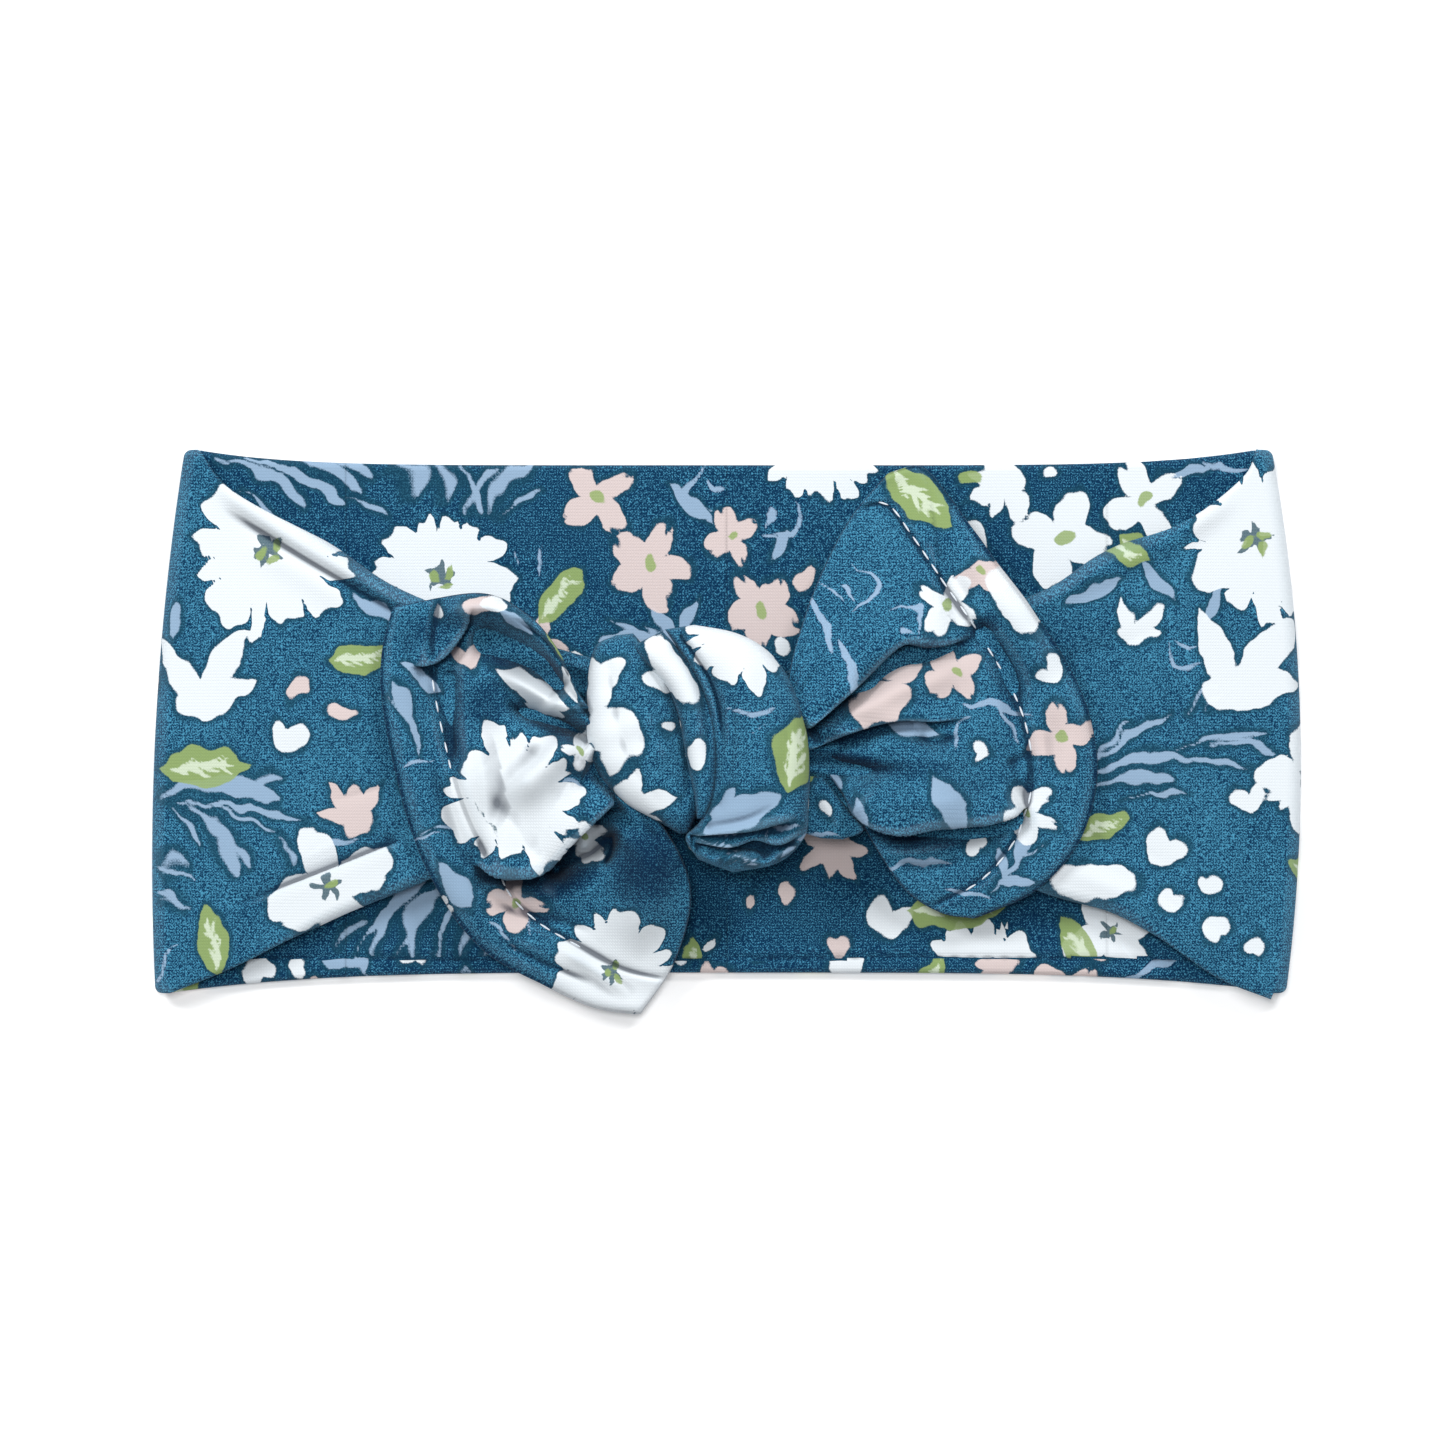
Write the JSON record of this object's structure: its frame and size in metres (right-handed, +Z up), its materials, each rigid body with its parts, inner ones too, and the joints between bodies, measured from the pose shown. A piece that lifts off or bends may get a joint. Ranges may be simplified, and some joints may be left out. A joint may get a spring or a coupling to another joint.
{
  "type": "knotted headband",
  "caption": "Soft printed jersey headband for a baby: a flat tube of cloth bent into a loop and tied at the front in one knot with two hemmed tails.",
  "frame": {"origin": "centre of the footprint, on the surface that the back of the loop lies on", "axes": "+X along the band towards the right of the laid-out front, +Y towards the crown edge, +Z up out of the front, through the knot"},
  "size_m": [0.1812, 0.0906, 0.023],
  "materials": {
    "printed_jersey": "brushed cotton jersey, slate blue with a white, pink, green and pale blue flower print",
    "inner_jersey": "the same printed jersey, where it lies in shade or inside the tube",
    "thread": "off-white polyester sewing thread"
  },
  "bodies": {
    "back_centre": {"back_centre_outer_layer": "printed_jersey", "back_centre_inner_layer": "inner_jersey", "back_centre_seam_allowance": "inner_jersey"},
    "back_left": {"back_left_outer_layer": "printed_jersey", "back_left_inner_layer": "inner_jersey", "back_left_seam_allowance": "inner_jersey"},
    "back_right": {"back_right_outer_layer": "printed_jersey", "back_right_inner_layer": "inner_jersey", "back_right_seam_allowance": "inner_jersey"},
    "front_left": {"front_left_inner_layer": "inner_jersey", "front_left_outer_layer": "printed_jersey"},
    "front_right": {"front_right_inner_layer": "inner_jersey", "front_right_outer_layer": "printed_jersey"},
    "knot": {"knot_left_turn": "printed_jersey", "knot_middle_fold": "printed_jersey", "knot_front_turn": "printed_jersey", "knot_core": "inner_jersey", "knot_lower_tuck": "printed_jersey"},
    "left_tail": {"left_tail_lower_layer": "inner_jersey", "left_tail_upper_layer": "printed_jersey", "left_tail_hem": "printed_jersey", "left_tail_topstitching": "thread"},
    "right_tail": {"right_tail_lower_layer": "inner_jersey", "right_tail_upper_layer": "printed_jersey", "right_tail_hem": "printed_jersey", "right_tail_topstitching": "thread"}
  },
  "joints": [
    {"name": "loop_opening", "type": "hinge", "parent": "back_centre", "child": "back_left", "pos_m": [-0.008, 0, 0.0023], "axis": [0, 1, 0], "range_deg": [0, 45]},
    {"name": "back_right_bend", "type": "hinge", "parent": "back_centre", "child": "back_right", "pos_m": [0.008, 0, 0.0023], "axis": [0, -1, 0], "range_deg": [0, 45]},
    {"name": "left_side_fold", "type": "hinge", "parent": "back_left", "child": "front_left", "pos_m": [-0.0908, 0, 0.0027], "axis": [0, -1, 0], "range_deg": [0, 90]},
    {"name": "right_side_fold", "type": "hinge", "parent": "back_right", "child": "front_right", "pos_m": [0.0908, 0, 0.0027], "axis": [0, 1, 0], "range_deg": [0, 90]},
    {"name": "knot_level", "type": "hinge", "parent": "front_left", "child": "knot", "pos_m": [-0.008, 0, 0.0031], "axis": [0, 1, 0], "range_deg": [0, 45]},
    {"name": "left_tail_lift", "type": "hinge", "parent": "knot", "child": "left_tail", "pos_m": [-0.014, -0.012, 0.0142], "axis": [-0.4472, 0.8944, 0], "range_deg": [0, 65]},
    {"name": "right_tail_lift", "type": "hinge", "parent": "knot", "child": "right_tail", "pos_m": [0.0134, -0.001, 0.0152], "axis": [0, -1, 0], "range_deg": [0, 65]}
  ],
  "couplings": [
    {"joint": "back_right_bend", "follows": "loop_opening", "ratio": 1},
    {"joint": "left_side_fold", "follows": "loop_opening", "ratio": 2},
    {"joint": "right_side_fold", "follows": "loop_opening", "ratio": 2},
    {"joint": "knot_level", "follows": "loop_opening", "ratio": 1}
  ]
}
